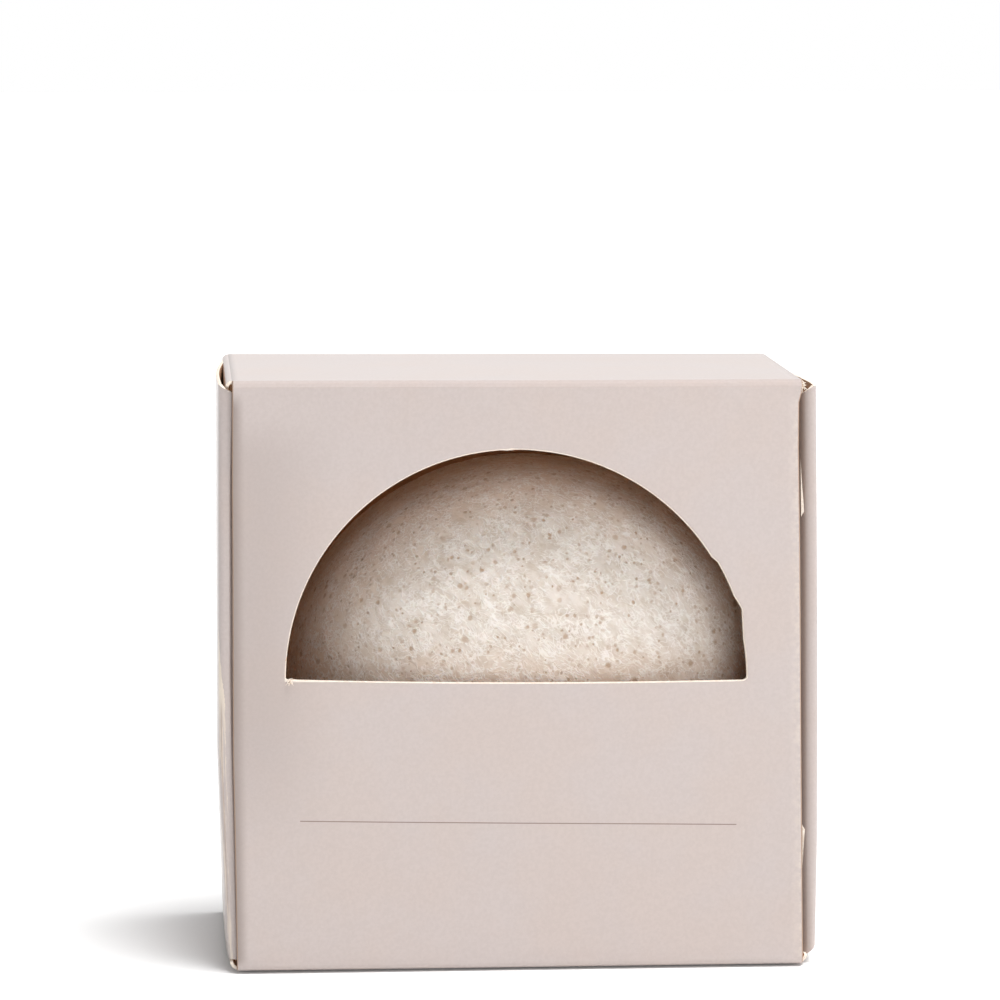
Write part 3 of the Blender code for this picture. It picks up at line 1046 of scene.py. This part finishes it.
def build_dust_flap(side, side_name, level, level_name, coat, inside, core):
    """A dust flap with its rolled fold, from the edge of the top or bottom wall."""
    flap_front = FLAP_FRONT[side]
    radius = FLAP_FOLD[level]
    path = FoldPath((WALL_HALF + FOLD_RADIUS - radius, HEIGHT), 0)
    fold_end = path.bend(QUARTER_TURN, radius)
    length = path.straight(HEIGHT - radius - FLAP_REACH)

    def to_frame(point, across):
        height = point.y if level > 0 else HEIGHT - point.y
        return Vector((side * point.x, across, height))

    root_front = FRONT + FLAP_ROOT
    mesh = flat_blank(length, root_front, FLAP_BACK, path.cuts())
    slope = Vector((flap_front - root_front, -fold_end)).normalized()
    trim(mesh, (0, root_front), (-slope.x, slope.y), end=fold_end)
    trim(mesh, (fold_end, flap_front), (FLAP_FRONT_SLOPE, -1), begin=fold_end)
    rear = Vector((FLAP_REAR_CUT, length - fold_end - FLAP_REAR_LEAD)).normalized()
    trim(mesh, (fold_end + FLAP_REAR_LEAD, FLAP_BACK), rear, begin=fold_end)
    round_corner(mesh, (length, flap_front + FLAP_CORNER_INSET), FLAP_CORNER, -1, fold_end)
    thicken(mesh)
    mark_faces(mesh, lambda place: place.x < NEAR)
    fold(mesh, lambda along, across: path.at(along), to_frame)
    name = f"{level_name}_{side_name}_dust_flap"
    height = HEIGHT if level > 0 else 0
    start = (side * WALL_HALF, 0, height)
    finish = (side * (WALL_HALF + FOLD_RADIUS), 0, height - level * FOLD_RADIUS)
    bend = ("carton", name, start, finish)
    make_piece(f"{name}_board", mesh, (coat, inside, core), bend, (name,))


# Sponge


def konjac_foam():
    """Dry konjac: pale fibres, matted aslant, between soft tan pores, and painted brown shade in the pores
    and down the dome's flanks.
    """
    shader = Shader("konjac_foam")
    place = shader.place()
    swirl = shader.shifted(place, shader.noise(place, 150, detail=3, output=1), 3.0 * MM)
    hair = 0
    for number, turn in enumerate(STRAND_TURNS):
        drawn_out = shader.stretched(swirl, turn, STRAND_STRETCH)
        strand = shader.noise(drawn_out, 1350 + 150 * number, detail=1)
        offset = (0.37 * number, 1.1 * number, 0)
        moved = shader.node("ShaderNodeVectorMath", sockets={0: place, 1: offset})
        shown = shader.noise(moved, 430, detail=2)
        hair = abs(strand - 0.5).step(*STRAND_WIDTH) * shown.step(0.42, 0.62) + hair
    hair = hair.clipped()
    mat = shader.stretched(swirl, STRAND_TURNS[0], 2)
    matted = shader.noise(mat, 800, detail=3, roughness=0.6).step(0.38, 0.68)
    patches = shader.noise(place, 170, detail=3, roughness=0.6).step(0.42, 0.7)
    colour = shader.mix(0.35 * patches + 0.6 * matted, FOAM_PALE, FOAM_TAN)
    _, depth, height = shader.parts(place)
    # Painted warm shade down the dome's sides and toward the window's base, where little light reaches.
    flank_shade = 0.5 * depth.step(*FLANK_SHADE_DEPTH) + 0.3 * height.step(*FLANK_SHADE_FOOT)
    colour = shader.mix(flank_shade.clipped(), colour, FOAM_FLANK_SHADE)
    colour = shader.mix(0.5 * hair, colour, FOAM_HAIR)
    pits = 0
    frayed = shader.shifted(place, shader.noise(place, 1200, output=1), 0.45 * MM)
    for scale, share, size in PORES:
        near, chance, reach, fade = shader.cells(frayed, scale)
        width = size * (0.45 + 0.55 * reach)
        pit = near.step(width, 0.4 * width) * chance.step(share, share + 0.02) * (0.35 + 0.65 * fade)
        pits = pit.math("MAXIMUM", pits)
    # The pores' tan is partly their own colour and partly painted shade of their hollows.
    colour = shader.mix(0.8 * pits, colour, FOAM_PORE_AND_SHADE)
    relief = 0.5 * hair - 0.9 * pits - 0.4 * matted
    normal = shader.bump(relief, 0.14 * MM, 1.0)
    return shader.finish(
        {
            "Base Color": colour,
            "Roughness": 0.95,
            "Specular IOR Level": 0.1,
            "Diffuse Roughness": 1.0,
            "Sheen Weight": 0.15,
            "Subsurface Weight": 0.35,
            "Subsurface Radius": (1.0, 0.7, 0.5),
            "Subsurface Scale": 3 * MM,
            "Normal": normal,
        }
    )


def sponge_point(direction, centre, reaches, back_depth):
    """Where a ray from the sponge's middle leaves it: a dome in front, fullest at the top, or a flat back."""
    across = math.hypot(direction.x / reaches.x, direction.z / reaches.z)
    if direction.y < 0:
        depth = reaches.y
        power = DOME_POWER + DOME_TOP_POWER * max(0, direction.z)
    else:
        depth = back_depth
        power = BACK_POWER
    reach = (across**power + abs(direction.y / depth) ** power) ** (-1 / power)
    return centre + reach * direction


def foam_relief(place):
    """Height of the foam's skin: soft lumps, and shallow hollows where cells are open."""
    lumps = noise.fractal(place * 120, 1.0, 2.0, 3) * 0.2 * MM
    swirl = place + noise.noise_vector(place * 320) * 0.8 * MM
    nearest = noise.voronoi(swirl * 520)[0][0]
    pit = max(0, 0.3 - nearest) * 0.5 * MM
    fuzz = noise.fractal(swirl * 1100, 0.8, 2.0, 2) * 0.05 * MM
    return lumps - pit + fuzz


def build_sponge():
    centre = (SPONGE_LOW + SPONGE_HIGH) / 2
    reaches = (SPONGE_HIGH - SPONGE_LOW) / 2
    centre.y = SPONGE_HIGH.y - SPONGE_RIM
    reaches.y = centre.y - SPONGE_LOW.y
    mesh = bmesh.new()
    bmesh.ops.create_cube(mesh, size=2)
    bmesh.ops.subdivide_edges(mesh, edges=mesh.edges[:], cuts=SPONGE_CUTS, use_grid_fill=True)
    for corner in mesh.verts:
        bent = Vector([math.tan(share * math.pi / 4) for share in corner.co]).normalized()
        place = sponge_point(bent, centre, reaches, SPONGE_RIM)
        outward = (place - centre).normalized()
        corner.co = place + outward * min(foam_relief(place), RELIEF_LIMIT)
    bmesh.ops.recalc_face_normals(mesh, faces=mesh.faces)
    for face in mesh.faces:
        face.smooth = True
    piece = make_piece("konjac_half_ball", mesh, (konjac_foam(),), "sponge", ("sponge",))


# Stage, light and camera


def build_floor():
    mesh = bmesh.new()
    bmesh.ops.create_grid(mesh, x_segments=1, y_segments=1, size=FLOOR_SIZE)
    bmesh.ops.translate(mesh, verts=mesh.verts, vec=(0, 0, -BOTTOM_SAG))
    data = bpy.data.meshes.new("floor")
    mesh.to_mesh(data)
    mesh.free()
    shader = Shader("white_sweep")
    place = shader.place()
    paper = shader.noise(place, 300, detail=3).step(0.3, 0.7)
    bounce = shader.mix(paper, *FLOOR_BOUNCE)
    colour = shader.mix(shader.seen_directly(), bounce, WHITE)
    shade = shader.node("ShaderNodeBsdfDiffuse", sockets={"Color": colour})
    lift = shader.node("ShaderNodeEmission", sockets={"Strength": FLOOR_LIFT * shader.seen_directly()})
    shader.end("ShaderNodeOutputMaterial", shader.node("ShaderNodeAddShader", sockets={0: shade, 1: lift}))
    data.materials.append(shader.material)
    floor = bpy.data.objects.new("floor", data)
    bpy.context.scene.collection.objects.link(floor)


def light_world(level):
    """Even soft light. The camera, and what reflects, see plain white instead."""
    world = bpy.data.worlds.new("studio")
    world.use_nodes = True
    shader = Shader.of(world.node_tree)
    seen = shader.node("ShaderNodeBackground", sockets={"Color": WHITE})
    soft = shader.node("ShaderNodeBackground", sockets={"Color": WHITE, "Strength": level})
    mixed = shader.node("ShaderNodeMixShader", sockets={0: shader.seen_directly(), 1: soft, 2: seen})
    shader.end("ShaderNodeOutputWorld", mixed)
    bpy.context.scene.world = world


def lamp_way(azimuth, elevation):
    """From the carton to a lamp. Azimuth 0 is in front of the window, 90 off the right end."""
    turn = math.radians(azimuth)
    rise = math.radians(elevation)
    return Vector((math.sin(turn) * math.cos(rise), -math.cos(turn) * math.cos(rise), math.sin(rise)))


def set_lamp(name, lamp, way, distance):
    holder = bpy.data.objects.new(name, lamp)
    holder.rotation_mode = "QUATERNION"
    holder.rotation_quaternion = way.to_track_quat("Z", "Y")
    holder.location = Vector((0, FRONT, HEIGHT / 2)) + distance * way
    holder.visible_glossy = False
    bpy.context.scene.collection.objects.link(holder)


def add_sun(name, azimuth, elevation, strength, softness):
    """A soft directional lamp."""
    lamp = bpy.data.lights.new(name, "SUN")
    lamp.energy = strength
    lamp.angle = math.radians(softness)
    set_lamp(name, lamp, lamp_way(azimuth, elevation), 1)


def add_panel(name, azimuth, elevation, power, distance, size):
    """A square lamp near enough that its light falls off across the carton."""
    lamp = bpy.data.lights.new(name, "AREA")
    lamp.energy = power
    lamp.size = size
    set_lamp(name, lamp, lamp_way(azimuth, elevation), distance)


def add_camera():
    data = bpy.data.cameras.new("camera")
    data.lens = CAMERA_LENS
    data.sensor_width = SENSOR_WIDTH
    data.clip_start = 0.01
    data.clip_end = 20
    camera = bpy.data.objects.new("camera", data)
    level = Matrix.Rotation(-CAMERA_YAW, 4, "Z") @ Matrix.Rotation(QUARTER_TURN + CAMERA_PITCH, 4, "X")
    camera.matrix_world = Matrix.Translation(CAMERA_PLACE) @ level @ Matrix.Rotation(CAMERA_ROLL, 4, "Z")
    bpy.context.scene.collection.objects.link(camera)
    bpy.context.scene.camera = camera


def main():
    noise.seed_set(RANDOM_SEED)
    inside = inside_board()
    build_sleeve(inside)
    end_core = cut_board("end_core", 2 * HEIGHT)
    end_coat = coated_board("end_coat")
    for side_name, shape in ENDS.items():
        build_end(side_name, shape, end_coat, inside, end_core)
        build_dust_flap(shape["side"], side_name, 1, "upper", end_coat, inside, end_core)
        build_dust_flap(shape["side"], side_name, -1, "lower", end_coat, inside, end_core)
    build_sponge()
    build_floor()
    light_world(SOFT_LEVEL)
    add_panel(*FRONT_KEY)
    add_sun(*OVERHEAD_SOFT)
    add_camera()
    bpy.context.scene.view_settings.view_transform = "Standard"


main()
